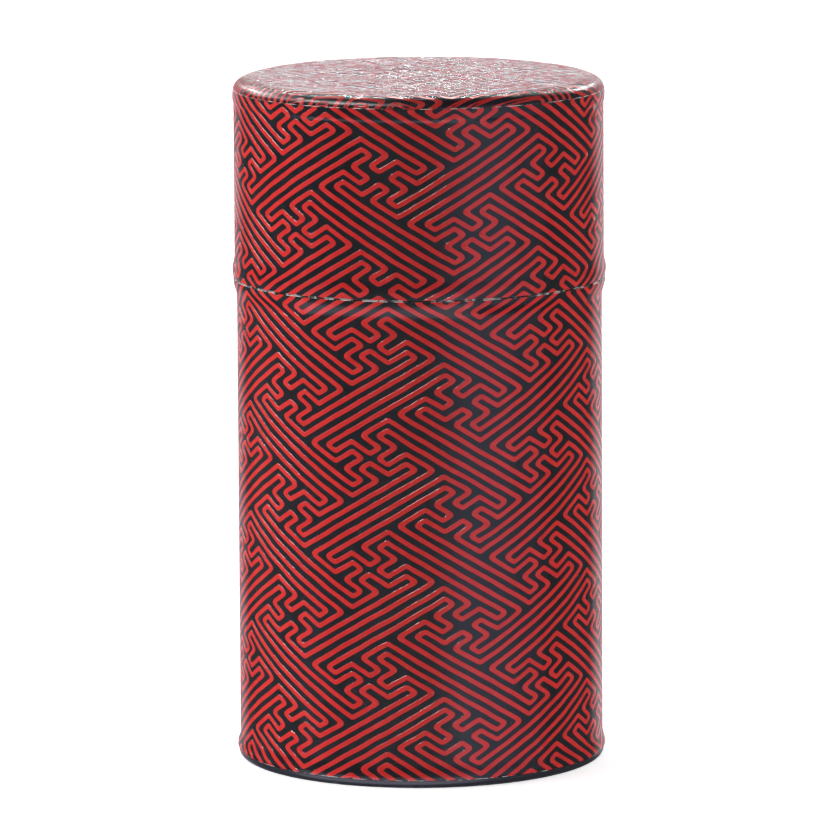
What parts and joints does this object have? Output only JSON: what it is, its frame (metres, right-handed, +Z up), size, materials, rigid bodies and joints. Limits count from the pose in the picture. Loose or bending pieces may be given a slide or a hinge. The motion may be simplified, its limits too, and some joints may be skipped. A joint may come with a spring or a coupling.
{
  "type": "tea caddy",
  "caption": "Round tea caddy of tinplate covered in printed key-fret paper, with a lift-off cap sliding over a neck and a plug inner lid with a knob.",
  "frame": {"origin": "centre of the base ring's plane, under the axis", "axes": "+Z up along the axis of the canister, cap and inner lid; X and Y are level and alike"},
  "size_m": [0.0804, 0.0804, 0.148],
  "materials": {
    "washi_print": "semi-gloss coated paper with a raised red key-fret print",
    "tinplate": "bright rolled tinplate",
    "base_lacquer": "black stoved lacquer on tinplate"
  },
  "bodies": {
    "canister": {"body_shell": "tinplate", "body_paper": "washi_print", "base_plate": "base_lacquer", "neck_sleeve": "tinplate"},
    "inner_lid": {"inner_lid_pan": "tinplate", "inner_lid_knob": "tinplate", "knob_rivet": "tinplate"},
    "cap": {"cap_shell": "tinplate", "cap_side_paper": "washi_print", "cap_top_plate": "tinplate", "cap_top_paper": "washi_print"}
  },
  "joints": [
    {"name": "inner_lid_lift", "type": "slide", "parent": "canister", "child": "inner_lid", "axis": [0, 0, 1], "range_m": [0, 0.03]},
    {"name": "cap_lift", "type": "slide", "parent": "inner_lid", "child": "cap", "axis": [0, 0, 1], "range_m": [0, 0.045]}
  ]
}
